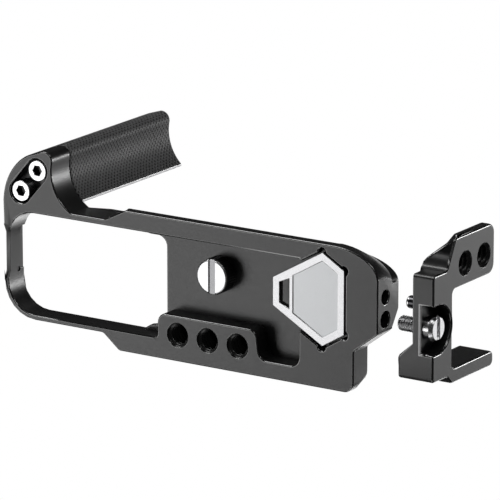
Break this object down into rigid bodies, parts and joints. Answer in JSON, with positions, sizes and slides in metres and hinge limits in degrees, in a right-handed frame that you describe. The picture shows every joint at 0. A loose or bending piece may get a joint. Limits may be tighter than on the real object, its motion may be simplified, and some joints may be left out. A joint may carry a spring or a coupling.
{
  "type": "camera l-bracket with hand grip",
  "caption": "Slim camera base plate with dovetail clamp edges, hand grip, captive camera screw, stowed flat key and a slide-on side bracket with an upright mounting arm.",
  "frame": {"origin": "the camera screw's axis at the camera seat, the plate's upper face", "axes": "+Z out of the camera seat along the camera screw; +X along the plate towards the side bracket; +Y towards the rear of the camera, so the hand grip is at -Y"},
  "size_m": [0.1304, 0.0497, 0.0546],
  "materials": {
    "plate_black": "black anodised, satin",
    "grip_metal": "bare, bright edge",
    "grip_rubber": "dotted, matte",
    "bright_steel": "bright, turned",
    "camera_screw_steel": "bright face, blackened knurled side",
    "clip_steel": "plain spring steel",
    "key_silver": "fine satin, pale",
    "magnet": "nickel plated",
    "pin_steel": "dark polished"
  },
  "bodies": {
    "plate": {"base_plate": "plate_black", "grip_core": "grip_metal", "grip_skin": "grip_rubber", "grip_screw_front": "bright_steel", "grip_screw_rear": "bright_steel", "key_magnet_front": "magnet", "key_magnet_rear": "magnet"},
    "camera_screw_clip": {"camera_screw_clip": "clip_steel"},
    "camera_screw": {"camera_screw": "camera_screw_steel"},
    "key": {"key": "key_silver"},
    "side_bracket": {"side_bracket": "plate_black", "guide_pin": "pin_steel"},
    "side_screw_clip": {"side_screw_clip": "clip_steel"},
    "side_screw": {"side_screw": "bright_steel"}
  },
  "joints": [
    {"name": "side_bracket_slide", "type": "slide", "parent": "plate", "child": "side_bracket", "axis": [1, 0, 0], "range_m": [-0.0099, 0.01]},
    {"name": "side_screw_float", "type": "slide", "parent": "side_bracket", "child": "side_screw_clip", "axis": [1, 0, 0], "range_m": [0, 0.00035]},
    {"name": "side_screw_turn", "type": "hinge", "parent": "side_screw_clip", "child": "side_screw", "pos_m": [0.0598, 0.0042, -0.0033], "axis": [1, 0, 0], "continuous": true},
    {"name": "camera_screw_float", "type": "slide", "parent": "plate", "child": "camera_screw_clip", "axis": [0, 0, -1], "range_m": [0, 0.00035]},
    {"name": "camera_screw_turn", "type": "hinge", "parent": "camera_screw_clip", "child": "camera_screw", "pos_m": [0, 0, 0], "axis": [0, 0, 1], "continuous": true},
    {"name": "key_lift", "type": "slide", "parent": "plate", "child": "key", "axis": [0, 0, -1], "range_m": [0, 0.02]}
  ]
}
